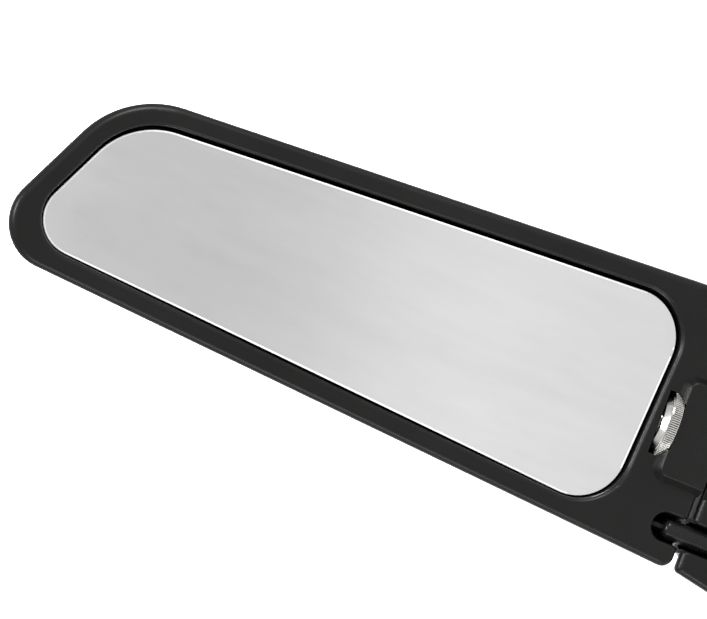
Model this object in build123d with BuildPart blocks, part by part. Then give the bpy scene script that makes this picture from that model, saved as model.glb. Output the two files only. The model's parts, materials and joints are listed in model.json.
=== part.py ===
"""Clip-on towing mirror: a long convex glass in a tapered head that clamps onto a door mirror.

Seen from behind the vehicle, the glass faces -Y, X runs across the head and Z runs up along it.
The origin is the middle of the bearing pad's rear face, where the door mirror's rim rests.
The head's foot and a sliding jaw share one outline, split by a narrow slit. A knurled thumbwheel,
captive in the head, turns a screw that draws the jaw up on two guide pins, so that two fixed upper
claws and two lower claws on the jaw grip the door mirror's housing from above and below.
The glass sits on a carrier that tilts and pans on a gimbal ring behind it.
All sizes are in millimetres. Depths are measured rearwards (+Y) from the head's flat front face.
"""

import os
from math import cos, radians, tan

from build123d import *

os.makedirs("parts", exist_ok=True)

# ---- Glass outline: a tapered four-sided shape with a slanted top and four corner radii ----
GLASS_HALF = 37.5  # half the width at the foot
GLASS_RISE = 209.9  # height from foot to top on the middle line
SIDE_TAPER = 3.7  # degrees that each side leans in
TOP_SLANT = 25.2  # degrees that the top falls towards +X
FOOT_LEAN = 3.5  # degrees that the foot falls towards +X
R_FOOT_LEFT, R_FOOT_RIGHT = 17.2, 15.9
R_TOP_RIGHT, R_TOP_LEFT = 26.1, 11.9
GLASS_R = 1800.0  # radius of the convex surface
GLASS_T = 3.0
TAPE_T = 0.8
CARRIER_T = 2.2

# ---- Heights, from the origin ----
FOOT = -69.0  # the glass's foot
HEAD_END = FOOT - 26.0  # lower end of the head, above the slit
JAW_TOP = FOOT - 27.7  # upper end of the jaw, below the slit
JAW_END = FOOT - 74.0
PIVOT_Z = FOOT + 105.0  # middle of the glass, where the gimbal is
GRIP = 104.0  # the claw pads' faces are this far above and below the origin

# ---- Depths, from the front face ----
DECK = 3.2  # thickness of the face plate
PARTING = 18.0  # where front and rear shells meet
BACK = 32.0  # rear face of the rear shells
PAD = 3.0
FRONT_Y = -(BACK + PAD)
APEX = 0.4  # the glass's foremost point
PIVOT_D = 14.0

# ---- Face plates, bodies and clearances ----
BORDER = 8.35  # from the glass's edge to the head's outer edge
HEAD_SHIFT = 0.35  # head, jaw and opening stand this much further towards +X than the glass
R_HEAD_LEFT = 15.65  # radius of the head's top left corner
GAP = 1.1  # open gap round the glass, before the shift
WALL, REAR_WALL = 2.0, 2.4
TUNNEL, TUNNEL_END = 1.8, 11.0  # wall round the glass opening, and how deep it reaches
EDGE_ROUND = 2.6
LIP_ROUND = 1.7
HEAD_CORNER, JAW_CORNER, JAW_FOOT_R = 4.0, 2.0, 16.0
JAW_HALF, JAW_FOOT_HALF = 47.1, 46.0  # half widths beside the slit and at the foot
JAW_FLARE, JAW_FLARE_H, JAW_HIP_R = 10.5, 17.0, 22.0  # the sides lean out, then turn in
BODY_INSET = 4.0  # the bodies behind the face plates are this much smaller all round
BODY_CORNER = 12.0
SIDE_DRAFT, REAR_DRAFT, REAR_ROUND = 4.0, 12.0, 4.0
SEAM = 0.3  # the rear shells are this much smaller all round
TONGUE_T, TONGUE_H, TONGUE_GAP, TONGUE_ROOT = 1.0, 2.5, 0.2, 1.5
CLEAR = 1.0  # solids that cut stand this far outside what they cut
NEAR, LEVEL = 0.5, 0.01  # how close an edge must lie to be picked for rounding

# ---- Thumbwheel, screw and nut ----
WHEEL_R, WHEEL_T, TEETH = 13.0, 5.2, 108
SCREW_X = -2.2
SCREW_D = 8.0  # depth of the screw's axis
WHEEL_Z = FOOT - 7.1
WELL_R, WELL_T = 13.7, 6.0
WELL_TOP, WELL_END = WHEEL_Z + WELL_T / 2, WHEEL_Z - WELL_T / 2
HOUSING_R, HOUSING_TOP = 16.2, 1.8
BULKHEAD = 4.0
SCREW_R = 3.95
SCREW_BORE = 5.0
JOURNAL_R, TIP_R = 3.0, 2.2
UPPER_BUSH_R, UPPER_BUSH_H = 4.0, 1.5
LOWER_BUSH_R, BUSH_FLANGE_R, BUSH_FLANGE = 5.0, 7.0, 0.8
GRUB_R, GRUB_START, GRUB_LENGTH = 1.3, 2.4, 5.6
GRUB_HEX = 0.75
SCREW_END, SCREW_CHAMFER, END_PLAY = FOOT - 64.0, 0.8, 0.2
NUT_TOP, NUT_H, NUT_SIDE, NUT_CHAMFER = FOOT - 34.0, 6.0, 10.8, 0.6
CAGE_DEEP = 12.5

# ---- Raised boss over the screw, in front of head and jaw ----
BOSS_LEFT, BOSS_RIGHT = -21.2, 16.8
BOSS_TOP, BOSS_END = FOOT - 7.2, FOOT - 60.0
BOSS_H, BOSS_R, BOSS_ROUND, BOSS_DRAFT = 3.2, 5.0, 1.2, 35.0
BOSS_ROOT = 0.5

# ---- Guide pins in open channels on both sides of the slit ----
PIN_X, PIN_D, PIN_R, PIN_ROUND = 34.3, 5.0, 3.6, 1.9
PIN_TOP, PIN_END = FOOT - 19.4, FOOT - 51.4
CHANNEL_R, CHANNEL_LIP, CHANNEL_WALL = 4.8, 1.2, 1.4
CHANNEL_TOP, CHANNEL_END = FOOT - 14.4, FOOT - 40.5
MOUTH_REACH, MOUTH_SHORTEST = 13.0, 3.0  # the mouths' edges near the slit are rounded
ROD_R, ROD_TOP, ROD_END, ROD_CHAMFER = 1.5, FOOT - 9.4, FOOT - 54.0, 0.4
ROD_SOCKET_R, ROD_CAP = 3.1, 1.0
ROD_FIT = 0.06

# ---- Gimbal ----
RING_OUT, RING_IN, RING_H = 14.0, 10.2, 8.0
AXLE_R, AXLE_START, AXLE_END = 2.0, 10.4, 19.0
AXLE_FIT = 0.05  # running clearance, on the radius
LUG_IN, LUG_OUT, LUG_R, LUG_ROOT = 14.7, 19.2, 4.6, 1.0
WASHER_R, WASHER_T = 4.2, 0.6
RING_FLAT = 13.9
BRACKET_D, BRACKET_T, BRACKET_HALF_X, BRACKET_HALF_Z = 20.5, 3.0, 13.5, 27.0
BRACKET_SCREW_X, BRACKET_SCREW_Z, BRACKET_BORE = 9.0, 23.0, 4.5
BRACKET_CORNER, BRACKET_SCREW = 4.0, 4.0

# ---- Carrier behind the glass, ribbed except round the gimbal ----
TAPE_INSET, CARRIER_INSET = 6.5, 5.0
RIB_DEEP, RIB_WIDE, RIB_X, RIB_PITCH, RIBS_EACH_WAY = 3.0, 1.6, 12.0, 26.0, 3
POCKET_W, POCKET_H, POCKET_SKIN = 42.0, 50.0, 0.3

# ---- Bearing pad ----
BEARING_W, BEARING_H, BEARING_CORNER, PAD_CHAMFER = 46.0, 110.0, 8.0, 0.6

# ---- Claws ----
ARM_T, ARM_REACH, LIP_T, LIP_H = 6.0, 38.0, 5.0, 10.0
FOOT_T, RIB_T, CLAW_ROUND = 4.0, 4.0, 2.0
UPPER_X, UPPER_W, UPPER_FOOT = 10.5, 14.0, 14.0
LOWER_X, LOWER_W, LOWER_FOOT = 21.0, 14.0, 20.0
PAD_EDGE, GROOVES, GROOVE_START, GROOVE_PITCH = 1.0, 6, 5.0, 4.5
GROOVE_W, GROOVE_H = 1.4, 1.6

# ---- Small screws ----
SHANK_R, SHANK_FIT = 1.5, 0.05
HEAD_R, HEAD_H = 2.8, 2.0
DRIVE_L, DRIVE_W = 3.0, 0.8
POST_R = 3.1
TOWER_R, COUNTERBORE_R, SEAT_D = 4.2, 3.1, 22.0
SHELL_SCREW, CLAW_SCREW, POST_BORE = 13.0, 9.5, 10.0

T, S, LEAN = radians(SIDE_TAPER), radians(TOP_SLANT), radians(FOOT_LEAN)
DRAWN_IN = (PARTING - DECK) * tan(radians(SIDE_DRAFT))  # by the front shells' draft
HANGING = (Align.CENTER, Align.CENTER, Align.MAX)
STANDING = (Align.CENTER, Align.CENTER, Align.MIN)


def at_depth(depth):
    """Plane parallel to the front face, facing forwards, at a depth behind it."""
    return Plane.XZ.offset(-(FRONT_Y + depth))


def at_height(z):
    """Level plane at a height."""
    return Plane.XY.offset(z)


def y_of(depth):
    return FRONT_Y + depth


def side_x(grow, z):
    """Half width at a height of the tapered sides, moved outwards by grow."""
    return GLASS_HALF + grow / cos(T) - (z - FOOT) * tan(T)


def band(grow, low, lean=0.0):
    """Corners, from the lower left anticlockwise, between a foot line and the slanted top."""
    a = GLASS_HALF + grow / cos(T) + FOOT * tan(T)
    b = FOOT + GLASS_RISE + grow / cos(S)
    fall = tan(lean)
    foot_left = (low * tan(T) - a) / (1 + fall * tan(T))
    foot_right = (a - low * tan(T)) / (1 - fall * tan(T))
    top_right = (a - b * tan(T)) / (1 - tan(T) * tan(S))
    top_left = (b * tan(T) - a) / (1 + tan(T) * tan(S))
    return [
        (foot_left, low - fall * foot_left),
        (foot_right, low - fall * foot_right),
        (top_right, b - top_right * tan(S)),
        (top_left, b - top_left * tan(S)),
    ]


def rounded_face(corners, radii, mode=Mode.ADD):
    """Adds the face of a closed outline whose corners have the given radii."""
    with BuildSketch(mode=Mode.PRIVATE) as face:
        with BuildLine():
            FilletPolyline(*corners, radius=radii, close=True)
        make_face()
    add(face.sketch_local, mode=mode)


def glass_shape(grow, shift=0.0):
    """The glass's outline, moved outwards by grow and towards +X by shift."""
    rounded_face(
        [(x + shift, z) for x, z in band(grow, FOOT - grow / cos(LEAN), LEAN)],
        [R_FOOT_LEFT + grow, R_FOOT_RIGHT + grow, R_TOP_RIGHT + grow, R_TOP_LEFT + grow],
    )


def end_wall(inset):
    """The walls beside the slit stand as far out as the face plates, so they move in by less."""
    return max(0.0, inset - BODY_INSET)


def head_shape(inset, corner=HEAD_CORNER, mode=Mode.ADD):
    """The head's outline, moved inwards by inset."""
    grow = BORDER - inset
    rounded_face(
        [(x + HEAD_SHIFT, z) for x, z in band(grow, HEAD_END + end_wall(inset))],
        [corner, corner, R_TOP_RIGHT + grow, R_HEAD_LEFT - inset],
        mode,
    )


def jaw_shape(inset, corner=JAW_CORNER):
    """The jaw's outline, moved inwards by inset: it flares, then draws in to a rounded foot."""
    beside_slit = JAW_HALF - inset
    hip = beside_slit + JAW_FLARE_H * tan(radians(JAW_FLARE))
    right = [
        (JAW_FOOT_HALF - inset, JAW_END + inset),
        (hip, JAW_TOP - JAW_FLARE_H),
        (beside_slit, JAW_TOP - end_wall(inset)),
    ]
    left = [(-x, z) for x, z in reversed(right)]
    foot_r = JAW_FOOT_R - inset
    rounded_face(
        [(x + HEAD_SHIFT, z) for x, z in right + left],
        [foot_r, JAW_HIP_R, corner, corner, JAW_HIP_R, foot_r],
    )


def body(shape, start, stop, inset, draft=0.0):
    """A body of one of the outlines, drawn in by the draft from start to stop deep."""
    with BuildPart() as solid:
        with BuildSketch(at_depth(start)):
            shape(inset, corner=BODY_CORNER + BODY_INSET - inset)
        extrude(amount=-(stop - start), taper=draft)
    return solid.part


def rear_dome(shape, inset, depth):
    """The part of a body behind the parting, with its rear edge rounded."""
    with BuildPart() as dome:
        add(body(shape, PARTING, depth, inset + DRAWN_IN, REAR_DRAFT))
        fillet(dome.faces().sort_by(Axis.Y)[-1].edges(), REAR_ROUND)
    return dome.part


def front_boss():
    """The raised boss in front of the screw, over head and jaw together."""
    with BuildPart() as boss:
        with BuildSketch(at_depth(BOSS_ROOT)):
            with Locations(((BOSS_LEFT + BOSS_RIGHT) / 2, (BOSS_TOP + BOSS_END) / 2)):
                RectangleRounded(BOSS_RIGHT - BOSS_LEFT, BOSS_TOP - BOSS_END, BOSS_R)
        extrude(amount=BOSS_H + BOSS_ROOT, taper=BOSS_DRAFT)
        fillet(boss.faces().sort_by(Axis.Y)[0].edges(), BOSS_ROUND)
    return boss.part


def within_glass(point, grow):
    """Whether a point lies inside the glass's outline moved outwards by grow, corners aside."""
    top = FOOT + GLASS_RISE + grow / cos(S) - point.X * tan(S)
    foot = FOOT - grow - point.X * tan(LEAN)
    return foot < point.Z < top and abs(point.X) < side_x(grow, point.Z)


def above(shape, z):
    return shape.split(at_height(z), keep=Keep.TOP)


def below(shape, z):
    return shape.split(at_height(z), keep=Keep.BOTTOM)


def export(builder, name):
    builder.part.label = name
    export_step(builder.part, f"parts/{name}.step")


BOSS = front_boss()
HEAD_BOSS, JAW_BOSS = above(BOSS, HEAD_END), below(BOSS, JAW_TOP)
HEAD_SCREW_X, HEAD_SCREW_Z = 24.0, FOOT - 9.5
HEAD_SCREWS = [(x, HEAD_SCREW_Z) for x in (-HEAD_SCREW_X, HEAD_SCREW_X)]
JAW_SCREW_OUT, JAW_SCREW_Z = 8.4, JAW_TOP - 23.5  # beside the lead screw, below the nut
JAW_SCREWS = [(SCREW_X + x, JAW_SCREW_Z) for x in (-JAW_SCREW_OUT, JAW_SCREW_OUT)]
BRACKET_SCREWS = [
    (x, PIVOT_Z + z)
    for x in (-BRACKET_SCREW_X, BRACKET_SCREW_X)
    for z in (-BRACKET_SCREW_Z, BRACKET_SCREW_Z)
]
PAD_T = 3.0
UPPER_ARM, LOWER_ARM = GRIP + PAD_T, -GRIP - PAD_T  # inner faces of the claws' arms
CLAW_SCREW_UP, CLAW_SCREW_DOWN = 10.0, 15.0
UPPER_SCREWS = [(x, UPPER_ARM + CLAW_SCREW_UP) for x in (-UPPER_X, UPPER_X)]
LOWER_SCREWS = [(x, LOWER_ARM - CLAW_SCREW_DOWN) for x in (-LOWER_X, LOWER_X)]
POST_LOW = 6.0  # how far the posts of the claws' screws stand out inside the rear shells


def guide_channels(z_mouth, z_blind, side):
    """Solid that cuts both open channels, half round at the bottom and at the blind end."""
    centre_z = z_blind - side * CHANNEL_R
    mid_z = (z_mouth + centre_z) / 2
    length = abs(z_mouth - centre_z)
    with BuildPart() as channels:
        for x in (-PIN_X, PIN_X):
            with Locations((x, y_of(PIN_D / 2 - CLEAR), mid_z)):
                Box(2 * CHANNEL_R, PIN_D + 2 * CLEAR, length)
            with Locations((x, y_of(PIN_D / 2 - CLEAR), centre_z)):
                Cylinder(CHANNEL_R, PIN_D + 2 * CLEAR, rotation=(90, 0, 0))
            with Locations((x, y_of(PIN_D), mid_z)):
                Cylinder(CHANNEL_R, length)
            with Locations((x, y_of(PIN_D), centre_z)):
                Sphere(CHANNEL_R)
    return channels.part


def round_channel_mouths(builder):
    """Rounds the channels' front edges, so that their mouths flare."""
    slit_z = (HEAD_END + JAW_TOP) / 2
    mouths = [
        e
        for e in builder.edges().filter_by_position(Axis.Y, y_of(0) - LEVEL, y_of(0) + LEVEL)
        if max(abs(abs((e @ t).X) - PIN_X) for t in (0, 0.5, 1)) < CHANNEL_R + NEAR
        and max(abs((e @ t).Z - slit_z) for t in (0, 1)) < MOUTH_REACH
        and e.length > MOUTH_SHORTEST
    ]
    fillet(mouths, CHANNEL_LIP)


def shell_front(shape, slit):
    """Face plate with a rounded rim, except at the slit, and the hollow body behind it."""
    with BuildPart() as shell:
        with BuildSketch(at_depth(0)):
            shape(0)
        extrude(amount=-DECK)
        rim = shell.faces().sort_by(Axis.Y)[0].edges()
        fillet([e for e in rim if abs(e.center().Z - slit) > NEAR], EDGE_ROUND)
        add(body(shape, DECK, PARTING, BODY_INSET, SIDE_DRAFT))
        add(body(shape, DECK, PARTING, BODY_INSET + WALL, SIDE_DRAFT), mode=Mode.SUBTRACT)
    return shell.part


def shell_rear(shape, screw_places, post_places):
    """Rear dome with a tongue inside the front shell, screw towers and the claws' posts."""
    tongue_start, tongue_stop = PARTING - TONGUE_H, PARTING + TONGUE_ROOT
    tongue = BODY_INSET + WALL + DRAWN_IN + TONGUE_GAP
    post_start = BACK - REAR_WALL - POST_LOW
    with BuildPart() as shell:
        add(rear_dome(shape, BODY_INSET + SEAM, BACK))
        add(rear_dome(shape, BODY_INSET + SEAM + REAR_WALL, BACK - REAR_WALL), mode=Mode.SUBTRACT)
        add(body(shape, tongue_start, tongue_stop, tongue))
        add(body(shape, tongue_start, tongue_stop, tongue + TONGUE_T), mode=Mode.SUBTRACT)
        with BuildSketch(at_depth(PARTING)):
            with Locations(*screw_places):
                Circle(TOWER_R)
        extrude(amount=-(BACK - REAR_WALL / 2 - PARTING))
        with BuildSketch(at_depth(BACK)):
            with Locations(*screw_places):
                Circle(COUNTERBORE_R)
        extrude(amount=BACK - SEAT_D, mode=Mode.SUBTRACT)
        with BuildSketch(at_depth(PARTING)):
            with Locations(*screw_places):
                Circle(SHANK_R + SHANK_FIT)
        extrude(amount=-(SEAT_D - PARTING), mode=Mode.SUBTRACT)
        with BuildSketch(at_depth(post_start)):
            with Locations(*post_places):
                Circle(POST_R)
        extrude(amount=-(POST_LOW + REAR_WALL / 2))
        with BuildSketch(at_depth(BACK)):
            with Locations(*post_places):
                Circle(SHANK_R)
        extrude(amount=REAR_WALL + POST_LOW - CLEAR, mode=Mode.SUBTRACT)
    return shell.part


def posts(places):
    """Posts for the shell screws, bored, from the face plate to the parting."""
    with BuildPart() as group:
        with BuildSketch(at_depth(DECK / 2)):
            with Locations(*places):
                Circle(POST_R)
        extrude(amount=-(PARTING - DECK / 2))
        with BuildSketch(at_depth(PARTING)):
            with Locations(*places):
                Circle(SHANK_R + SHANK_FIT)
        extrude(amount=POST_BORE, mode=Mode.SUBTRACT)
    return group.part


def channel_blocks(z_low, z_high):
    """Blocks behind the face plate, round the guide channels."""
    deep = PIN_D + CHANNEL_R + CHANNEL_WALL - DECK / 2
    mid_y, mid_z = y_of(DECK / 2 + deep / 2), (z_low + z_high) / 2
    with BuildPart() as group:
        with Locations((-PIN_X, mid_y, mid_z), (PIN_X, mid_y, mid_z)):
            Box(2 * (CHANNEL_R + CHANNEL_WALL), deep, z_high - z_low)
    return group.part


# ======================= Head: the fixed body =======================

with BuildPart() as front_frame:
    add(shell_front(head_shape, HEAD_END))
    # Tunnel round the glass opening
    with BuildSketch(at_depth(DECK / 2)):
        glass_shape(GAP + TUNNEL, HEAD_SHIFT)
        head_shape(BODY_INSET + WALL / 2, mode=Mode.INTERSECT)
    extrude(amount=-(TUNNEL_END - DECK / 2))
    # Housing of the wheel well, and the bulkhead below it
    with BuildSketch(at_height(WELL_END - BULKHEAD)):
        with Locations((SCREW_X, y_of(SCREW_D))):
            Circle(HOUSING_R)
        with Locations((SCREW_X, y_of(DECK / 2 + HOUSING_R))):
            Rectangle(2 * HOUSING_R, 2 * HOUSING_R, mode=Mode.INTERSECT)
    extrude(amount=WELL_T + BULKHEAD + HOUSING_TOP)
    # Blocks and sockets for the guide rods
    add(channel_blocks(HEAD_END, CHANNEL_TOP + CHANNEL_WALL))
    with Locations(*[(x, y_of(PIN_D), ROD_TOP + ROD_CAP) for x in (-PIN_X, PIN_X)]):
        Cylinder(ROD_SOCKET_R, ROD_TOP + ROD_CAP - CHANNEL_TOP, align=HANGING)
    add(posts(HEAD_SCREWS))
    add(HEAD_BOSS)
    # Openings
    with BuildSketch(at_depth(-CLEAR)):
        glass_shape(GAP, HEAD_SHIFT)
    extrude(amount=-BACK, mode=Mode.SUBTRACT)
    lip = [
        e
        for e in front_frame.edges().filter_by_position(Axis.Y, y_of(0) - LEVEL, y_of(0) + LEVEL)
        if within_glass(e.center(), GAP + HEAD_SHIFT + NEAR)
    ]
    fillet(lip, LIP_ROUND)
    with Locations((SCREW_X, y_of(SCREW_D), WHEEL_Z)):
        Cylinder(WELL_R, WELL_T, mode=Mode.SUBTRACT)
    add(guide_channels(HEAD_END - CLEAR, CHANNEL_TOP, 1), mode=Mode.SUBTRACT)
    round_channel_mouths(front_frame)
    # Bores for the bushes, the screw and the rods
    with Locations((SCREW_X, y_of(SCREW_D), WELL_TOP)):
        Cylinder(UPPER_BUSH_R, UPPER_BUSH_H, align=STANDING, mode=Mode.SUBTRACT)
    with Locations((SCREW_X, y_of(SCREW_D), WELL_END)):
        Cylinder(LOWER_BUSH_R, BULKHEAD, align=HANGING, mode=Mode.SUBTRACT)
        Cylinder(BUSH_FLANGE_R, BUSH_FLANGE, align=HANGING, mode=Mode.SUBTRACT)
    with Locations((SCREW_X, y_of(SCREW_D), WELL_END - BULKHEAD)):
        Cylinder(SCREW_BORE, WELL_END - HEAD_END, align=HANGING, mode=Mode.SUBTRACT)
    with Locations(*[(x, y_of(PIN_D), ROD_TOP) for x in (-PIN_X, PIN_X)]):
        Cylinder(ROD_R, ROD_TOP - ROD_END, align=HANGING, mode=Mode.SUBTRACT)
export(front_frame, "front_frame")

with BuildPart() as head_rear_shell:
    add(shell_rear(head_shape, HEAD_SCREWS, UPPER_SCREWS))
    # Posts for the bracket's screws
    with BuildSketch(at_depth(BRACKET_D + BRACKET_T)):
        with Locations(*BRACKET_SCREWS):
            Circle(POST_R)
    extrude(amount=-(BACK - REAR_WALL / 2 - BRACKET_D - BRACKET_T))
    with BuildSketch(at_depth(BRACKET_D + BRACKET_T)):
        with Locations(*BRACKET_SCREWS):
            Circle(SHANK_R)
    extrude(amount=-BRACKET_BORE, mode=Mode.SUBTRACT)
export(head_rear_shell, "head_rear_shell")


def screws(places, head_depth, length):
    """Pan head screws driven in from behind, with their heads' undersides at head_depth."""
    with BuildPart() as group:
        with BuildSketch(at_depth(head_depth)):
            with Locations(*places):
                Circle(SHANK_R)
        extrude(amount=length)
        with BuildSketch(at_depth(head_depth)):
            with Locations(*places):
                Circle(HEAD_R)
        extrude(amount=-HEAD_H)
        tops = group.faces().filter_by(Axis.Y).group_by(Axis.Y)[-1]
        fillet(tops.edges(), HEAD_H / 2)
        with BuildSketch(at_depth(head_depth + HEAD_H)):
            with Locations(*places):
                Rectangle(DRIVE_L, DRIVE_W)
                Rectangle(DRIVE_W, DRIVE_L)
        extrude(amount=HEAD_H / 2, mode=Mode.SUBTRACT)
    return group


head_shell_screws = screws(HEAD_SCREWS, SEAT_D, SHELL_SCREW)
export(head_shell_screws, "head_shell_screws")

with BuildPart() as upper_bush:
    with Locations((SCREW_X, y_of(SCREW_D), WELL_TOP)):
        Cylinder(UPPER_BUSH_R, UPPER_BUSH_H, align=STANDING)
        Cylinder(TIP_R + AXLE_FIT, UPPER_BUSH_H, align=STANDING, mode=Mode.SUBTRACT)
export(upper_bush, "upper_bush")

with BuildPart() as lower_bush:
    with Locations((SCREW_X, y_of(SCREW_D), WELL_END)):
        Cylinder(LOWER_BUSH_R, BULKHEAD, align=HANGING)
        Cylinder(BUSH_FLANGE_R, BUSH_FLANGE, align=HANGING)
        Cylinder(JOURNAL_R + AXLE_FIT, BULKHEAD, align=HANGING, mode=Mode.SUBTRACT)
export(lower_bush, "lower_bush")

with BuildPart() as guide_rods:
    with Locations(*[(x, y_of(PIN_D), ROD_TOP) for x in (-PIN_X, PIN_X)]):
        Cylinder(ROD_R, ROD_TOP - ROD_END, align=HANGING)
    chamfer(guide_rods.faces().filter_by(Axis.Z).group_by(Axis.Z)[0].edges(), ROD_CHAMFER)
export(guide_rods, "guide_rods")

with BuildPart() as pivot_bracket:
    with BuildSketch(at_depth(BRACKET_D)):
        with Locations((0, PIVOT_Z)):
            RectangleRounded(2 * BRACKET_HALF_X, 2 * BRACKET_HALF_Z, BRACKET_CORNER)
    extrude(amount=-BRACKET_T)
    for side in (-1, 1):
        with BuildSketch(at_height(PIVOT_Z + side * LUG_IN)):
            with Locations((0, y_of(PIVOT_D))):
                Circle(LUG_R)
            with Locations((0, y_of((PIVOT_D + BRACKET_D + LUG_ROOT) / 2))):
                Rectangle(2 * LUG_R, BRACKET_D + LUG_ROOT - PIVOT_D)
        extrude(amount=side * (LUG_OUT - LUG_IN))
    with Locations((0, y_of(PIVOT_D), PIVOT_Z)):
        Cylinder(AXLE_R + AXLE_FIT, 2 * LUG_OUT, mode=Mode.SUBTRACT)
    with BuildSketch(at_depth(BRACKET_D)):
        with Locations(*BRACKET_SCREWS):
            Circle(SHANK_R + SHANK_FIT)
    extrude(amount=-BRACKET_T, mode=Mode.SUBTRACT)
export(pivot_bracket, "pivot_bracket")

with BuildPart() as bracket_screws:
    with BuildSketch(at_depth(BRACKET_D)):
        with Locations(*BRACKET_SCREWS):
            Circle(SHANK_R)
    extrude(amount=-(BRACKET_T + BRACKET_SCREW))
    with BuildSketch(at_depth(BRACKET_D)):
        with Locations(*BRACKET_SCREWS):
            Circle(HEAD_R)
    extrude(amount=HEAD_H)
    heads = bracket_screws.faces().filter_by(Axis.Y).group_by(Axis.Y)[0]
    fillet(heads.edges(), HEAD_H / 2)
export(bracket_screws, "bracket_screws")

with BuildPart() as bearing_pad:
    with BuildSketch(at_depth(BACK)):
        RectangleRounded(BEARING_W, BEARING_H, BEARING_CORNER)
    extrude(amount=-PAD)
    chamfer(bearing_pad.faces().sort_by(Axis.Y)[-1].edges(), PAD_CHAMFER)
export(bearing_pad, "bearing_pad")


def claws(xs, width, arm_z, side, foot_h, screw_places):
    """Hooks with a foot plate on the rear, a ribbed arm reaching back and a lip towards the grip."""
    arm_mid = arm_z + side * ARM_T / 2
    foot_mid = arm_z + side * foot_h / 2
    lip_mid = arm_z + side * (ARM_T - LIP_H) / 2
    with BuildPart() as group:
        with Locations(*[(x, -PAD + FOOT_T / 2, foot_mid) for x in xs]):
            Box(width, FOOT_T, foot_h)
        with Locations(*[(x, (ARM_REACH - PAD) / 2, arm_mid) for x in xs]):
            Box(width, ARM_REACH + PAD, ARM_T)
        with Locations(*[(x, ARM_REACH - LIP_T / 2, lip_mid) for x in xs]):
            Box(width, LIP_T, LIP_H + ARM_T)
        # Two gussets on each claw, from the foot to the arm
        for x in xs:
            for rib_x in (x - width / 2 + RIB_T / 4, x + width / 2 - RIB_T / 4):
                with BuildSketch(Plane.YZ.offset(rib_x)):
                    with BuildLine():
                        Polyline(
                            (-PAD + FOOT_T, arm_z + side * foot_h),
                            (-PAD + FOOT_T, arm_z + side * ARM_T),
                            (ARM_REACH - LIP_T, arm_z + side * ARM_T),
                            close=True,
                        )
                    make_face()
                extrude(amount=RIB_T / 4, both=True)
        outer = group.edges().filter_by(Axis.X).group_by(Axis.Y)[-1]
        fillet(outer, CLAW_ROUND)
        with BuildSketch(at_depth(BACK + FOOT_T)):
            with Locations(*screw_places):
                Circle(SHANK_R + SHANK_FIT)
        extrude(amount=FOOT_T, mode=Mode.SUBTRACT)
    return group


upper_claws = claws((-UPPER_X, UPPER_X), UPPER_W, UPPER_ARM, 1, UPPER_FOOT, UPPER_SCREWS)
export(upper_claws, "upper_claws")

upper_claw_screws = screws(UPPER_SCREWS, BACK + FOOT_T, CLAW_SCREW)
export(upper_claw_screws, "upper_claw_screws")


def claw_pads(xs, width, arm_z, side):
    """Ribbed rubber pads on the inner faces of the arms and lips."""
    reach = ARM_REACH - LIP_T
    with BuildPart() as group:
        with Locations(*[(x, reach / 2 + PAD_EDGE, arm_z - side * PAD_T / 2) for x in xs]):
            Box(width - PAD_EDGE, reach - 2 * PAD_EDGE, PAD_T)
        chamfer(group.edges().filter_by(Axis.Y), PAD_CHAMFER)
        grip_face = arm_z - side * PAD_T
        groove_ys = [GROOVE_START + GROOVE_PITCH * k for k in range(GROOVES)]
        with Locations(*[(x, y, grip_face) for x in xs for y in groove_ys]):
            Box(width, GROOVE_W, GROOVE_H, mode=Mode.SUBTRACT)
    return group


upper_claw_pads = claw_pads((-UPPER_X, UPPER_X), UPPER_W, UPPER_ARM, 1)
export(upper_claw_pads, "upper_claw_pads")

# ======================= Adjuster: thumbwheel and screw =======================

KNURL_R, KNURL_T = 0.36, 3.1  # knurled band, at the lower face
SHOULDER_R, SHOULDER_TOP_R, SHOULDER_STEP = 12.3, 10.4, 0.5  # smooth stepped cone above the band
RECESS_R, HUB_R, STEP = 8.6, 5.6, 0.8  # each face steps down between rim and hub
with BuildPart() as thumbwheel:
    with BuildSketch(at_height(WHEEL_Z - WHEEL_T / 2)):
        with Locations((SCREW_X, y_of(SCREW_D))):
            Circle(WHEEL_R)
            with PolarLocations(WHEEL_R, TEETH):
                RegularPolygon(KNURL_R, 3, rotation=180, mode=Mode.SUBTRACT)
    extrude(amount=KNURL_T)
    with Locations((SCREW_X, y_of(SCREW_D), WHEEL_Z - WHEEL_T / 2)):
        Cylinder(SHOULDER_R, KNURL_T + SHOULDER_STEP, align=STANDING)
    cone_h = WHEEL_T - KNURL_T - SHOULDER_STEP
    with Locations((SCREW_X, y_of(SCREW_D), WHEEL_Z + WHEEL_T / 2 - cone_h)):
        Cone(SHOULDER_R - SHOULDER_STEP, SHOULDER_TOP_R, cone_h, align=STANDING)
    with Locations((SCREW_X, y_of(SCREW_D), WHEEL_Z)):
        for side in (-1, 1):
            with Locations((0, 0, side * WHEEL_T / 2)):
                Cylinder(RECESS_R, 2 * STEP, mode=Mode.SUBTRACT)
        Cylinder(HUB_R, WHEEL_T)
        Cylinder(JOURNAL_R, WHEEL_T, mode=Mode.SUBTRACT)
    # Tapped hole of the grub screw, open at the rim
    with BuildSketch(at_depth(SCREW_D)):
        with Locations((SCREW_X, WHEEL_Z)):
            Circle(GRUB_R)
    extrude(amount=-WHEEL_R, mode=Mode.SUBTRACT)
export(thumbwheel, "thumbwheel")

with BuildPart() as grub_screw:
    with BuildSketch(at_depth(SCREW_D + GRUB_START)):
        with Locations((SCREW_X, WHEEL_Z)):
            Circle(GRUB_R)
    extrude(amount=-GRUB_LENGTH)
    with BuildSketch(at_depth(SCREW_D + GRUB_START + GRUB_LENGTH)):
        with Locations((SCREW_X, WHEEL_Z)):
            RegularPolygon(GRUB_HEX, 6)
    extrude(amount=GRUB_LENGTH / 4, mode=Mode.SUBTRACT)
export(grub_screw, "grub_screw")

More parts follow.
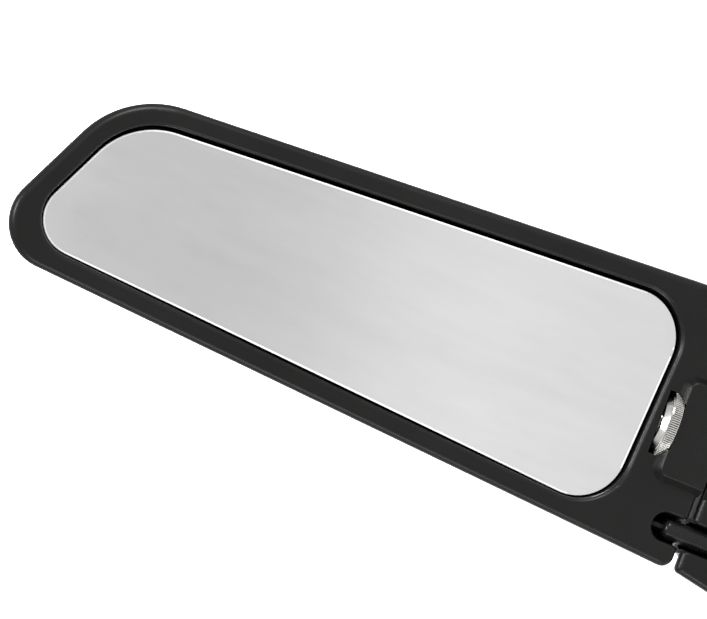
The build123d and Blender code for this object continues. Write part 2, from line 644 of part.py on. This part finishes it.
THREAD_TOP = WELL_END - BULKHEAD - END_PLAY
TIP_TOP = WELL_TOP + UPPER_BUSH_H - END_PLAY
with BuildPart() as lead_screw:
    with Locations((SCREW_X, y_of(SCREW_D), THREAD_TOP)):
        Cylinder(SCREW_R, THREAD_TOP - SCREW_END, align=HANGING)
        Cylinder(JOURNAL_R, WHEEL_Z + WHEEL_T / 2 - THREAD_TOP, align=STANDING)
        Cylinder(TIP_R, TIP_TOP - THREAD_TOP, align=STANDING)
    chamfer(lead_screw.faces().sort_by(Axis.Z)[0].edges(), SCREW_CHAMFER)
    with BuildSketch(at_depth(SCREW_D + GRUB_START)):
        with Locations((SCREW_X, WHEEL_Z)):
            Circle(GRUB_R)
    extrude(amount=GRUB_START - JOURNAL_R, mode=Mode.SUBTRACT)
export(lead_screw, "lead_screw")

# ======================= Sliding jaw =======================

with BuildPart() as jaw_front:
    add(shell_front(jaw_shape, JAW_TOP))
    add(posts(JAW_SCREWS))
    add(channel_blocks(PIN_END, JAW_TOP))
    # Cage of the captive nut
    with Locations((SCREW_X, y_of((DECK + CAGE_DEEP) / 2), NUT_TOP - NUT_H / 2)):
        Box(NUT_SIDE + 2 * WALL, CAGE_DEEP, NUT_H + 2 * WALL)
    add(JAW_BOSS)
    with Locations((SCREW_X, y_of(SCREW_D), NUT_TOP - NUT_H / 2)):
        Box(NUT_SIDE, NUT_SIDE, NUT_H, mode=Mode.SUBTRACT)
    with Locations((SCREW_X, y_of(SCREW_D + NUT_SIDE / 2), NUT_TOP - NUT_H / 2)):
        Box(NUT_SIDE, NUT_SIDE, NUT_H, mode=Mode.SUBTRACT)
    with Locations((SCREW_X, y_of(SCREW_D), JAW_TOP + CLEAR)):
        Cylinder(SCREW_BORE, JAW_TOP - SCREW_END, align=HANGING, mode=Mode.SUBTRACT)
    add(guide_channels(JAW_TOP + CLEAR, CHANNEL_END, -1), mode=Mode.SUBTRACT)
    round_channel_mouths(jaw_front)
    with Locations(*[(x, y_of(PIN_D), CHANNEL_END + CHANNEL_R) for x in (-PIN_X, PIN_X)]):
        Cylinder(PIN_R, CHANNEL_END + CHANNEL_R - PIN_END, align=HANGING, mode=Mode.SUBTRACT)
export(jaw_front, "jaw_front")

with BuildPart() as jaw_rear_shell:
    add(shell_rear(jaw_shape, JAW_SCREWS, LOWER_SCREWS))
export(jaw_rear_shell, "jaw_rear_shell")

jaw_shell_screws = screws(JAW_SCREWS, SEAT_D, SHELL_SCREW)
export(jaw_shell_screws, "jaw_shell_screws")

with BuildPart() as captive_nut:
    with Locations((SCREW_X, y_of(SCREW_D), NUT_TOP - NUT_H / 2)):
        Box(NUT_SIDE, NUT_SIDE, NUT_H)
        Cylinder(SCREW_R + AXLE_FIT, NUT_H, mode=Mode.SUBTRACT)
    chamfer(captive_nut.edges().filter_by(GeomType.LINE).filter_by(Axis.Z), NUT_CHAMFER)
export(captive_nut, "captive_nut")

with BuildPart() as guide_sleeves:
    for x in (-PIN_X, PIN_X):
        with Locations((x, y_of(PIN_D), PIN_TOP)):
            Cylinder(PIN_R, PIN_TOP - PIN_END, align=HANGING)
    fillet(guide_sleeves.faces().filter_by(Axis.Z).group_by(Axis.Z)[-1].edges(), PIN_ROUND)
    for x in (-PIN_X, PIN_X):
        with Locations((x, y_of(PIN_D), PIN_TOP)):
            Cylinder(ROD_R + ROD_FIT, PIN_TOP - PIN_END, align=HANGING, mode=Mode.SUBTRACT)
export(guide_sleeves, "guide_sleeves")

lower_claws = claws((-LOWER_X, LOWER_X), LOWER_W, LOWER_ARM, -1, LOWER_FOOT, LOWER_SCREWS)
export(lower_claws, "lower_claws")

lower_claw_screws = screws(LOWER_SCREWS, BACK + FOOT_T, CLAW_SCREW)
export(lower_claw_screws, "lower_claw_screws")

lower_claw_pads = claw_pads((-LOWER_X, LOWER_X), LOWER_W, LOWER_ARM, -1)
export(lower_claw_pads, "lower_claw_pads")

# ======================= Gimbal ring =======================

with BuildPart() as gimbal_ring:
    with BuildSketch(at_depth(PIVOT_D - RING_H / 2)):
        with Locations((0, PIVOT_Z)):
            Circle(RING_OUT)
            Rectangle(2 * RING_FLAT, 2 * RING_FLAT, mode=Mode.INTERSECT)
            Circle(RING_IN, mode=Mode.SUBTRACT)
    extrude(amount=-RING_H)
    with Locations((0, y_of(PIVOT_D), PIVOT_Z)):
        Cylinder(AXLE_R, 2 * RING_OUT, mode=Mode.SUBTRACT)
        Cylinder(AXLE_R, 2 * RING_OUT, rotation=(0, 90, 0), mode=Mode.SUBTRACT)
export(gimbal_ring, "gimbal_ring")


def axle_pair(turn, radius, start, end, hole=0.0):
    """Two equal round pieces on one line through the pivot, along Z or, turned, along X."""
    with BuildPart() as pair:
        for side in (-1, 1):
            middle = side * (start + end) / 2
            place = (middle, 0, 0) if turn else (0, 0, middle)
            with Locations((place[0], y_of(PIVOT_D), PIVOT_Z + place[2])):
                Cylinder(radius, end - start, rotation=(0, turn, 0))
                if hole:
                    Cylinder(hole, end - start, rotation=(0, turn, 0), mode=Mode.SUBTRACT)
    return pair


pan_axles = axle_pair(0, AXLE_R, AXLE_START, AXLE_END)
export(pan_axles, "pan_axles")

tilt_axles = axle_pair(90, AXLE_R, AXLE_START, AXLE_END)
export(tilt_axles, "tilt_axles")

WASHER_IN, WASHER_OUT = RING_FLAT + AXLE_FIT, RING_FLAT + AXLE_FIT + WASHER_T
pan_washers = axle_pair(0, WASHER_R, WASHER_IN, WASHER_OUT, AXLE_R)
export(pan_washers, "pan_washers")

tilt_washers = axle_pair(90, WASHER_R, WASHER_IN, WASHER_OUT, AXLE_R)
export(tilt_washers, "tilt_washers")

# ======================= Glass =======================


def curved_layer(grow, start, thickness):
    """A layer behind the glass's outline, bent to the glass's sphere, from start deep at the apex."""
    centre = (0, y_of(APEX) + GLASS_R, PIVOT_Z)
    with BuildPart() as layer:
        with BuildSketch(at_depth(-CLEAR)):
            glass_shape(grow)
        extrude(amount=-BACK)
        with Locations(centre):
            Sphere(GLASS_R - start, mode=Mode.INTERSECT)
            Sphere(GLASS_R - start - thickness, mode=Mode.SUBTRACT)
    return layer.part


CARRIER_D = GLASS_T + TAPE_T
with BuildPart() as mirror_glass:
    add(curved_layer(0, 0, GLASS_T))
export(mirror_glass, "mirror_glass")

with BuildPart() as adhesive_tape:
    add(curved_layer(-TAPE_INSET, GLASS_T, TAPE_T))
export(adhesive_tape, "adhesive_tape")

with BuildPart() as rib_grid:
    with BuildSketch(at_depth(0)):
        with Locations(*[(x, PIVOT_Z) for x in (-RIB_X, RIB_X)]):
            Rectangle(RIB_WIDE, 2 * GLASS_RISE)
        rows = range(-RIBS_EACH_WAY, RIBS_EACH_WAY + 1)
        with Locations(*[(0, PIVOT_Z + RIB_PITCH * k) for k in rows]):
            Rectangle(3 * GLASS_HALF, RIB_WIDE)
    extrude(amount=-BACK)

with BuildPart() as glass_carrier:
    add(curved_layer(-CARRIER_INSET, CARRIER_D, CARRIER_T + RIB_DEEP) & rib_grid.part)
    add(curved_layer(-CARRIER_INSET, CARRIER_D, CARRIER_T))
    # Clear the ribs away round the gimbal, and stand the two lugs there
    with BuildSketch(at_depth(APEX + CARRIER_D + CARRIER_T + POCKET_SKIN)):
        with Locations((0, PIVOT_Z)):
            Rectangle(POCKET_W, POCKET_H)
    extrude(amount=-BACK, mode=Mode.SUBTRACT)
    lug_start = APEX + CARRIER_D + LUG_ROOT
    for side in (-1, 1):
        with BuildSketch(Plane.YZ.offset(side * LUG_IN)):
            with Locations((y_of(PIVOT_D), PIVOT_Z)):
                Circle(LUG_R)
            with Locations((y_of((PIVOT_D + lug_start) / 2), PIVOT_Z)):
                Rectangle(PIVOT_D - lug_start, 2 * LUG_R)
        extrude(amount=side * (LUG_OUT - LUG_IN))
    with Locations((0, y_of(PIVOT_D), PIVOT_Z)):
        Cylinder(AXLE_R + AXLE_FIT, 2 * LUG_OUT, rotation=(0, 90, 0), mode=Mode.SUBTRACT)
export(glass_carrier, "glass_carrier")
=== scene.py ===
"""Clip-on towing mirror: finishes, small details, floor, light and camera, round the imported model.

Lengths are in metres. X runs across the head, Z up along it, and the glass faces -Y.
"""

import json
from math import cos, pi, radians, sin

import bmesh
import bpy
import numpy as np
from mathutils import Matrix, Vector


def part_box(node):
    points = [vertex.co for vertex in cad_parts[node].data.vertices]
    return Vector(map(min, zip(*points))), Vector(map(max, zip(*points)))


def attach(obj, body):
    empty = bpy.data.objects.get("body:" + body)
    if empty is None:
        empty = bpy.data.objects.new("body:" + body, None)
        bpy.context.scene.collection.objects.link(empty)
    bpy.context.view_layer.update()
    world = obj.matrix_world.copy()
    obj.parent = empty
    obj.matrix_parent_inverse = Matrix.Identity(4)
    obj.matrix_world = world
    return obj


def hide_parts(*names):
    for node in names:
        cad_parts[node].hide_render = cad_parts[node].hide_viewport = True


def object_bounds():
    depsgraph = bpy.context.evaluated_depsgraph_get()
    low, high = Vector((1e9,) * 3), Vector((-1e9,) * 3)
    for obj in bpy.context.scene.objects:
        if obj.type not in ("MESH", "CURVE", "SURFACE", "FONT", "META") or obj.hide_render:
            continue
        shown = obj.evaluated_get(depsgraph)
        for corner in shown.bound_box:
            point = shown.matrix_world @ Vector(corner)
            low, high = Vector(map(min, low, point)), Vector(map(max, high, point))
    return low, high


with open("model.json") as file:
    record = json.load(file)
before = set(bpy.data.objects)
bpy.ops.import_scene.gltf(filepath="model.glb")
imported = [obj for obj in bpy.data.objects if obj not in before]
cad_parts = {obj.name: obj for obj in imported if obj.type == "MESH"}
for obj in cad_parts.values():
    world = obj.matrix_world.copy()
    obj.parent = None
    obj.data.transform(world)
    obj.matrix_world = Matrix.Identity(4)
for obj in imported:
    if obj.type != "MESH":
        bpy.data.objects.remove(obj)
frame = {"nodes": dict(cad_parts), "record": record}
CAD_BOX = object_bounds()
NODES = frame["nodes"]
MM = 0.001

# ======================= Camera =======================

LENS, SENSOR = 300.0, 36.0
VIEW_AZIMUTH, VIEW_ELEVATION, VIEW_ROLL = -5.0, 13.0, -67.91
VIEW_TARGET = Vector((-6.16 * MM, -35.0 * MM, 38.2 * MM))
VIEW_DISTANCE = 1937.0 * MM
NEAREST, FARTHEST = 0.05, 50.0


def make_camera():
    """A long lens a little above the glass and to one side, rolled so that the head lies down."""
    azimuth, elevation = radians(VIEW_AZIMUTH), radians(VIEW_ELEVATION)
    back = Vector(
        (sin(azimuth) * cos(elevation), -cos(azimuth) * cos(elevation), sin(elevation))
    )
    data = bpy.data.cameras.new("camera")
    data.lens, data.sensor_width = LENS, SENSOR
    data.clip_start, data.clip_end = NEAREST, FARTHEST
    camera = bpy.data.objects.new("camera", data)
    bpy.context.scene.collection.objects.link(camera)
    turn = back.to_track_quat("Z", "Y").to_matrix() @ Matrix.Rotation(radians(VIEW_ROLL), 3, "Z")
    camera.matrix_world = Matrix.Translation(VIEW_TARGET + back * VIEW_DISTANCE) @ turn.to_4x4()
    bpy.context.scene.camera = camera


# ======================= Materials =======================


class Shader:
    """A material's node tree, built with short calls."""

    def __init__(self, name, **sockets):
        self.material = bpy.data.materials.new(name)
        self.material.use_nodes = True
        self.nodes = self.material.node_tree.nodes
        self.links = self.material.node_tree.links
        self.surface = self.nodes["Principled BSDF"]
        for socket, value in sockets.items():
            self.surface.inputs[socket.replace("_", " ")].default_value = value
        self.place = self.add("ShaderNodeTexCoord").outputs["Object"]
        self.heights = []

    def add(self, kind, inputs=(), **settings):
        """Adds a node. An input that is given a socket is linked to it, others are set."""
        node = self.nodes.new(kind)
        for key, value in settings.items():
            setattr(node, key, value)
        for key, value in dict(inputs).items():
            if isinstance(value, bpy.types.NodeSocket):
                self.links.new(value, node.inputs[key])
            else:
                node.inputs[key].default_value = value
        return node

    def noise(self, scale, detail=3.0, rough=0.55, stretch=None):
        """Fractal noise that stays with the piece, drawn out along an axis where stretched."""
        place = self.place
        if stretch:
            place = self.add("ShaderNodeMapping", {"Vector": place, "Scale": stretch}).outputs[0]
        return self.add(
            "ShaderNodeTexNoise",
            {"Vector": place, "Scale": scale, "Detail": detail, "Roughness": rough},
        ).outputs["Fac"]

    def cells(self, scale):
        """Distance to the nearest of many scattered points, which makes shallow pits."""
        inputs = {"Vector": self.place, "Scale": scale}
        return self.add("ShaderNodeTexVoronoi", inputs).outputs["Distance"]

    def remap(self, value, low, high, out_low, out_high):
        """Carries low..high over to out_low..out_high in a straight line, held at both ends."""
        return self.add(
            "ShaderNodeMapRange",
            {
                "Value": value,
                "From Min": low,
                "From Max": high,
                "To Min": out_low,
                "To Max": out_high,
            },
        ).outputs["Result"]

    def ramp(self, value, stops):
        """Colour that runs through (position, colour) stops as value grows."""
        node = self.add("ShaderNodeValToRGB", {"Fac": value})
        elements = node.color_ramp.elements
        while len(elements) < len(stops):
            elements.new(0.5)
        for element, (position, colour) in zip(elements, stops):
            element.position = position
            element.color = (*colour, 1.0)
        return node.outputs["Color"]

    def maths(self, operation, a, b):
        return self.add("ShaderNodeMath", {0: a, 1: b}, operation=operation).outputs[0]

    def wear(self, radius):
        """0 on flats, rising to 1 on edges that are sharper than the radius."""
        bevel = self.add("ShaderNodeBevel", {"Radius": radius}, samples=4).outputs["Normal"]
        normal = self.add("ShaderNodeNewGeometry").outputs["Normal"]
        dot = self.add("ShaderNodeVectorMath", {0: bevel, 1: normal}, operation="DOT_PRODUCT")
        return self.remap(dot.outputs["Value"], 1.0, 0.8, 0.0, 1.0)

    def set(self, socket, value):
        self.links.new(value, self.surface.inputs[socket])

    def bump(self, height, distance, strength=1.0):
        """Adds one layer of relief, distance metres deep, over the layers already there."""
        inputs = {"Height": height, "Distance": distance, "Strength": strength}
        if self.heights:
            inputs["Normal"] = self.heights[-1]
        self.heights.append(self.add("ShaderNodeBump", inputs).outputs["Normal"])
        self.set("Normal", self.heights[-1])


def moulded_plastic(name, dark, light, grain, grain_depth, roughness):
    """Moulded plastic: spark-eroded grain, faint clouding, paler and smoother worn edges."""
    s = Shader(name, IOR=1.49, Specular_IOR_Level=0.26)
    cloud = s.noise(18.0, 4.0)
    fine = s.noise(grain, 3.0, 0.6)
    pits = s.cells(grain * 0.7)
    worn = s.wear(0.5 * MM)
    speck = s.remap(fine, 0.35, 0.7, 0.0, 1.0)
    mix = s.maths("ADD", s.maths("MULTIPLY", cloud, 0.55), s.maths("MULTIPLY", speck, 0.3))
    mix = s.maths("ADD", mix, s.maths("MULTIPLY", worn, 0.5))
    s.set("Base Color", s.ramp(mix, [(0.2, dark), (1.1, light)]))
    clouded = s.remap(cloud, 0.3, 0.7, roughness - 0.05, roughness + 0.06)
    s.set("Roughness", s.maths("ADD", clouded, s.maths("MULTIPLY", worn, -0.08)))
    s.bump(fine, grain_depth, 0.7)
    s.bump(pits, grain_depth * 0.6, 0.5)
    return s.material


def silvered_glass():
    """Silvered glass: bright even reflection, very fine wiping haze and long faint streaks."""
    s = Shader("mirror_silver", Metallic=1.0)
    haze = s.noise(30.0, 5.0, 0.6, (1.0, 1.0, 0.22))
    streak = s.noise(210.0, 4.0, 0.65, (1.0, 1.0, 0.16))
    wiped = s.maths("ADD", s.maths("MULTIPLY", haze, 0.6), s.maths("MULTIPLY", streak, 0.4))
    silver = [(0.32, (0.79, 0.79, 0.79)), (0.66, (0.865, 0.865, 0.865))]
    s.set("Base Color", s.ramp(wiped, silver))
    s.set("Roughness", s.remap(streak, 0.35, 0.75, 0.035, 0.10))
    s.bump(streak, 0.004 * MM, 0.3)
    return s.material


def ground_glass():
    """Ground and polished edge of the glass: white, catching light from all sides."""
    s = Shader("glass_edge", IOR=1.52, Specular_IOR_Level=0.6)
    grind = s.noise(900.0, 3.0)
    s.set("Base Color", s.ramp(grind, [(0.3, (0.90, 0.92, 0.92)), (0.8, (0.97, 0.98, 0.98))]))
    s.set("Roughness", s.remap(grind, 0.3, 0.7, 0.18, 0.4))
    s.bump(grind, 0.02 * MM, 0.5)
    return s.material


ROUND_BAR = (1, 1, 4)  # tool marks run round a bar that stands along Z
PLAIN = (1, 1, 1)


def metal(name, dark, light, polished, dull, scale, stretch=PLAIN):
    """Machined or plated metal: fine tool marks, uneven polish, brighter edges, painted shade in the
    grooves.
    """
    s = Shader(name, Metallic=1.0)
    # The darkest colour, used for the painted shade down in grooves
    groove_shade_colour = tuple(0.25 * channel for channel in dark)
    marks = s.noise(scale, 4.0, 0.6, stretch)
    cloud = s.noise(60.0, 3.0)
    worn = s.wear(0.25 * MM)
    mix = s.maths("ADD", s.maths("MULTIPLY", marks, 0.7), s.maths("MULTIPLY", worn, 0.5))
    # Painted shade: ambient occlusion darkens the colour down in the grooves of a knurl or thread
    open_sky = s.add("ShaderNodeAmbientOcclusion", {"Distance": 0.6 * MM}, samples=8).outputs["AO"]
    painted_groove_shade = s.maths("MULTIPLY", mix, s.remap(open_sky, 0.25, 0.75, 0.0, 1.0))
    s.set("Base Color", s.ramp(painted_groove_shade, [(0.0, groove_shade_colour), (0.3, dark), (0.9, light)]))
    s.set("Roughness", s.remap(s.maths("ADD", marks, cloud), 0.6, 1.4, polished, dull))
    s.bump(marks, 0.01 * MM, 0.6)
    return s.material


def rubber(name, dark, light):
    """Matt moulded rubber with a bloom of dust in the grain."""
    s = Shader(name, IOR=1.5, Specular_IOR_Level=0.25)
    fine = s.noise(1400.0, 3.0, 0.6)
    bloom = s.noise(40.0, 5.0)
    s.set("Base Color", s.ramp(s.maths("MULTIPLY", fine, bloom), [(0.1, dark), (0.5, light)]))
    s.set("Roughness", s.remap(bloom, 0.3, 0.7, 0.72, 0.92))
    s.bump(fine, 0.05 * MM, 0.6)
    return s.material


def make_materials():
    return {
        "black_shell": moulded_plastic(
            "black_shell",
            dark=(0.0028, 0.0027, 0.0026),
            light=(0.0135, 0.0130, 0.0122),
            grain=2600.0,
            grain_depth=0.03 * MM,
            roughness=0.36,
        ),
        "rear_black": moulded_plastic(
            "rear_black",
            dark=(0.006, 0.006, 0.0057),
            light=(0.028, 0.0275, 0.026),
            grain=1300.0,
            grain_depth=0.08 * MM,
            roughness=0.52,
        ),
        "claw_nylon": moulded_plastic(
            "claw_nylon",
            dark=(0.010, 0.010, 0.0105),
            light=(0.040, 0.040, 0.041),
            grain=900.0,
            grain_depth=0.05 * MM,
            roughness=0.46,
        ),
        "black_pin": moulded_plastic(
            "black_pin",
            dark=(0.006, 0.006, 0.006),
            light=(0.020, 0.020, 0.020),
            grain=3000.0,
            grain_depth=0.01 * MM,
            roughness=0.26,
        ),
        "carrier_grey": moulded_plastic(
            "carrier_grey",
            dark=(0.20, 0.205, 0.21),
            light=(0.36, 0.365, 0.375),
            grain=1200.0,
            grain_depth=0.05 * MM,
            roughness=0.5,
        ),
        "mirror_silver": silvered_glass(),
        "glass_edge": ground_glass(),
        "nickel": metal(
            "nickel",
            dark=(0.62, 0.61, 0.59),
            light=(0.97, 0.96, 0.94),
            polished=0.10,
            dull=0.26,
            scale=500.0,
        ),
        "black_steel": metal(
            "black_steel",
            dark=(0.020, 0.020, 0.020),
            light=(0.07, 0.07, 0.07),
            polished=0.3,
            dull=0.5,
            scale=400.0,
            stretch=ROUND_BAR,
        ),
        "screw_steel": metal(
            "screw_steel",
            dark=(0.34, 0.34, 0.34),
            light=(0.70, 0.70, 0.69),
            polished=0.22,
            dull=0.42,
            scale=400.0,
            stretch=ROUND_BAR,
        ),
        "zinc_screws": metal(
            "zinc_screws",
            dark=(0.42, 0.43, 0.45),
            light=(0.74, 0.75, 0.76),
            polished=0.26,
            dull=0.45,
            scale=600.0,
        ),
        "brass_bush": metal(
            "brass_bush",
            dark=(0.55, 0.40, 0.18),
            light=(0.86, 0.68, 0.38),
            polished=0.22,
            dull=0.4,
            scale=400.0,
            stretch=ROUND_BAR,
        ),
        "rubber_black": rubber("rubber_black", (0.010, 0.010, 0.010), (0.045, 0.044, 0.043)),
        "tape_black": rubber("tape_black", (0.02, 0.02, 0.02), (0.06, 0.06, 0.06)),
    }


def dress_nodes(materials):
    """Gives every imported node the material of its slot."""
    for part in frame["record"]["subparts"]:
        node = NODES[part["node"]]
        node.data.materials.clear()
        node.data.materials.append(materials[part["material_slot"]])


# ======================= Surfaces worked out on a grid =======================

SHARP = radians(35)  # faces that meet at more than this keep a crisp edge


def grid_piece(name, points, ring, slot, body):
    """Mesh over a (u, v) grid of points, which is wrapped in v.

    A ring is wrapped in u as well. Otherwise the first and last rows are closed by flat caps.
    """
    rows, columns = points.shape[:2]
    index = np.arange(rows * columns).reshape(rows, columns)
    beside = np.roll(index, -1, axis=1)
    above, above_beside = np.roll(index, -1, axis=0), np.roll(beside, -1, axis=0)
    last = rows if ring else rows - 1
    quads = np.stack([index, beside, above_beside, above], axis=-1)
    faces = quads[:last].reshape(-1, 4).tolist()
    if not ring:
        faces += [index[0][::-1].tolist(), index[-1].tolist()]
    mesh = bpy.data.meshes.new(name)
    mesh.from_pydata(points.reshape(-1, 3).tolist(), [], faces)
    work = bmesh.new()
    work.from_mesh(mesh)
    bmesh.ops.recalc_face_normals(work, faces=work.faces)
    work.to_mesh(mesh)
    work.free()
    mesh.update()
    mesh.set_sharp_from_angle(angle=SHARP)
    piece = bpy.data.objects.new(name, mesh)
    bpy.context.scene.collection.objects.link(piece)
    mesh.materials.append(MATERIALS[slot])
    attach(piece, body)
    return piece


def front_rim(node, count):
    """The front edge of a flat node's side wall, as count points evenly spaced, with normals.

    Side wall vertices are those of faces that look sideways. Among vertices that share an (x, z)
    the foremost is on the rim. The rim is ordered by the angle round its middle, then cut into
    count equal steps of length. A normal is the step from the last point to the next, turned
    a quarter outwards.
    """
    sideways, decimals = 0.5, 5  # largest Y of a side wall's normal; places agree to 0.01 mm
    mesh = NODES[node].data
    places = np.empty(len(mesh.vertices) * 3)
    mesh.vertices.foreach_get("co", places)
    places = places.reshape(-1, 3)
    wall = [list(f.vertices) for f in mesh.polygons if abs(f.normal.y) < sideways]
    side = places[np.unique(np.concatenate(wall))]
    side = side[np.argsort(side[:, 1])]
    _, first = np.unique(np.round(side[:, (0, 2)], decimals), axis=0, return_index=True)
    rim = side[first]
    middle = rim.mean(axis=0)
    rim = rim[np.argsort(np.arctan2(rim[:, 2] - middle[2], rim[:, 0] - middle[0]))]
    loop = np.vstack([rim, rim[:1]])
    run = np.concatenate([[0.0], np.cumsum(np.linalg.norm(np.diff(loop, axis=0), axis=1))])
    steps = np.linspace(0.0, run[-1], count, endpoint=False)
    even = np.stack([np.interp(steps, run, loop[:, k]) for k in range(3)], axis=1)
    along = np.roll(even, -1, axis=0) - np.roll(even, 1, axis=0)
    outwards = np.stack([along[:, 2], np.zeros(count), -along[:, 0]], axis=1)
    outwards /= np.linalg.norm(outwards, axis=1)[:, None]
    return even, outwards


RIM_POINTS = 720
# Closed section of the ground edge in mm, outwards and rearwards of the glass's front edge
EDGE_SECTION = [
    (-0.48, -0.04),
    (-0.24, -0.12),
    (0.02, -0.03),
    (0.08, 0.2),
    (0.08, 0.9),
    (-0.3, 0.9),
    (-0.48, 0.2),
]


def make_ground_edge():
    """Ground bevel of the glass: a narrow band carried round the glass's front edge.

    Point = rim + a * outwards + b * rearwards, for each (a, b) of the closed section.
    """
    rim, outwards = front_rim("mirror_glass", RIM_POINTS)
    section = np.array(EDGE_SECTION) * MM
    rearwards = np.array([0.0, 1.0, 0.0])
    points = (
        rim[:, None, :]
        + section[None, :, 0, None] * outwards[:, None, :]
        + section[None, :, 1, None] * rearwards
    )
    edge = grid_piece("glass_ground_edge", points, True, "mirror_silver", "glass")
    edge.data.materials[0] = MATERIALS["glass_edge"]


THREAD_LEAD, THREAD_DEEP = 2.0 * MM, 0.62 * MM
THREAD_SLOPE, THREAD_OFFSET = 2.2, 0.6  # steep flanks between a flat crest and a flat root
THREAD_ROWS, THREAD_COLUMNS = 234, 48
RUN_IN, RUN_OUT = 1.0 * MM, 2.0 * MM  # the groove grows and dies away over these lengths
END_CHAMFER = 0.8 * MM
SHOULDER_Z, JOURNAL_Z = -83.3 * MM, -73.5 * MM
JOURNAL_R, TIP_R = 3.0 * MM, 2.2 * MM
JOURNAL_BREAK, TIP_BREAK = (0.05 * MM, 0.1 * MM), (0.3 * MM, 0.3 * MM)  # height and depth


def make_lead_screw():
    """Lead screw with its rolled trapezoidal thread, journal and tip.

    Radius on the thread = crest - depth * sqrt(end) * clip(slope * |2 f - 1| - offset, 0, 1). Here
    f is the fraction of a turn by which height / lead is ahead of angle / full turn, and end runs
    from 0 to 1 over the run-in and back to 0 over the run-out. The lower end is chamfered. Above
    the shoulder the radius is the journal's, then the tip's, each with its edge broken.
    """
    low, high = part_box("lead_screw")
    low, high = np.array(low), np.array(high)
    axis_x, axis_y = (low[0] + high[0]) / 2, (low[1] + high[1]) / 2
    crest = (high[0] - low[0]) / 2
    turned = np.linspace(low[2], SHOULDER_Z, THREAD_ROWS)
    angle = np.linspace(0.0, 2 * pi, THREAD_COLUMNS, endpoint=False)
    ahead = (turned[:, None] / THREAD_LEAD - angle[None, :] / (2 * pi)) % 1.0
    groove = np.clip(THREAD_SLOPE * np.abs(2 * ahead - 1) - THREAD_OFFSET, 0.0, 1.0)
    run_in = np.clip((turned - low[2]) / RUN_IN, 0.0, 1.0)
    run_out = np.clip((SHOULDER_Z - turned) / RUN_OUT, 0.0, 1.0)
    chamfer = END_CHAMFER * (1 - np.clip((turned - low[2]) / END_CHAMFER, 0.0, 1.0))
    radius = crest - THREAD_DEEP * groove * np.sqrt(run_in * run_out)[:, None]
    radius -= chamfer[:, None]
    plain_part = [
        (SHOULDER_Z, JOURNAL_R),
        (JOURNAL_Z - JOURNAL_BREAK[0], JOURNAL_R),
        (JOURNAL_Z, JOURNAL_R - JOURNAL_BREAK[1]),
        (JOURNAL_Z, TIP_R),
        (high[2] - TIP_BREAK[0], TIP_R),
        (high[2], TIP_R - TIP_BREAK[1]),
    ]
    heights = np.concatenate([turned, [z for z, _ in plain_part]])
    radius = np.vstack([radius, [[r] * len(angle) for _, r in plain_part]])
    points = np.stack(
        [
            axis_x + radius * np.cos(angle)[None, :],
            axis_y + radius * np.sin(angle)[None, :],
            np.repeat(heights[:, None], len(angle), axis=1),
        ],
        axis=-1,
    )
    screw = grid_piece("lead_screw_turned", points, False, "screw_steel", "adjuster")
    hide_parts("lead_screw")


# ======================= Floor and light =======================

FLOOR_DROP, FLOOR_REACH = 0.35, 9.0
ROOM_BRIGHTNESS = 0.72
WIDE, HALF_WIDE, NARROW = 130.0, 110.0, 30.0  # how far the lights' grids let light spread
MIDDLE = (0.0, 0.0, 0.0)


def panel(name, place, look_at, size, power, spread):
    """A soft rectangular studio light, of so many watts, with its spread in degrees."""
    data = bpy.data.lights.new(name, "AREA")
    data.shape, data.size, data.size_y = "RECTANGLE", *size
    data.energy, data.spread = power, radians(spread)
    light = bpy.data.objects.new(name, data)
    aim = (Vector(place) - Vector(look_at)).to_track_quat("Z", "Y")
    light.matrix_world = Matrix.Translation(place) @ aim.to_matrix().to_4x4()
    bpy.context.scene.collection.objects.link(light)


def make_room():
    """A plain pale floor well below the mirror, even surroundings and soft lights."""
    low = CAD_BOX[0].z - FLOOR_DROP
    reach = FLOOR_REACH
    corners = [(-reach, -reach), (reach, -reach), (reach, reach), (-reach, reach)]
    mesh = bpy.data.meshes.new("floor")
    mesh.from_pydata([(x, y, low) for x, y in corners], [], [(0, 1, 2, 3)])
    floor = bpy.data.objects.new("floor", mesh)
    bpy.context.scene.collection.objects.link(floor)
    s = Shader("floor_white", IOR=1.4)
    mottle = s.noise(3.0, 3.0)
    s.set("Base Color", s.ramp(mottle, [(0.3, (0.90, 0.90, 0.90)), (0.7, (0.93, 0.93, 0.93))]))
    s.set("Roughness", s.remap(mottle, 0.3, 0.7, 0.85, 0.95))
    mesh.materials.append(s.material)
    world = bpy.data.worlds.new("room")
    world.use_nodes = True
    surroundings = world.node_tree.nodes["Background"].inputs
    surroundings["Color"].default_value = (1.0, 1.0, 1.0, 1.0)
    surroundings["Strength"].default_value = ROOM_BRIGHTNESS
    bpy.context.scene.world = world
    bpy.context.scene.view_settings.view_transform = "Standard"
    panel("background_light", (0.0, 3.6, 1.3), (0.0, 3.4, low), (4.0, 4.0), 170.0, HALF_WIDE)
    panel("key_light", (1.5, -1.3, 0.5), MIDDLE, (0.5, 0.5), 0.9, NARROW)
    panel("side_light", (-1.6, -0.9, -0.1), MIDDLE, (0.4, 0.8), 0.4, NARROW)
    panel("end_light", (0.1, -0.9, 1.9), MIDDLE, (0.6, 0.4), 1.0, NARROW)
    # Whitens the floor in front of the glass, which the glass reflects
    panel("floor_light", (0.0, -1.6, 1.0), (0.0, -1.6, low), (0.5, 0.5), 3.0, WIDE)


make_camera()
MATERIALS = make_materials()
dress_nodes(MATERIALS)
make_ground_edge()
make_lead_screw()
make_room()
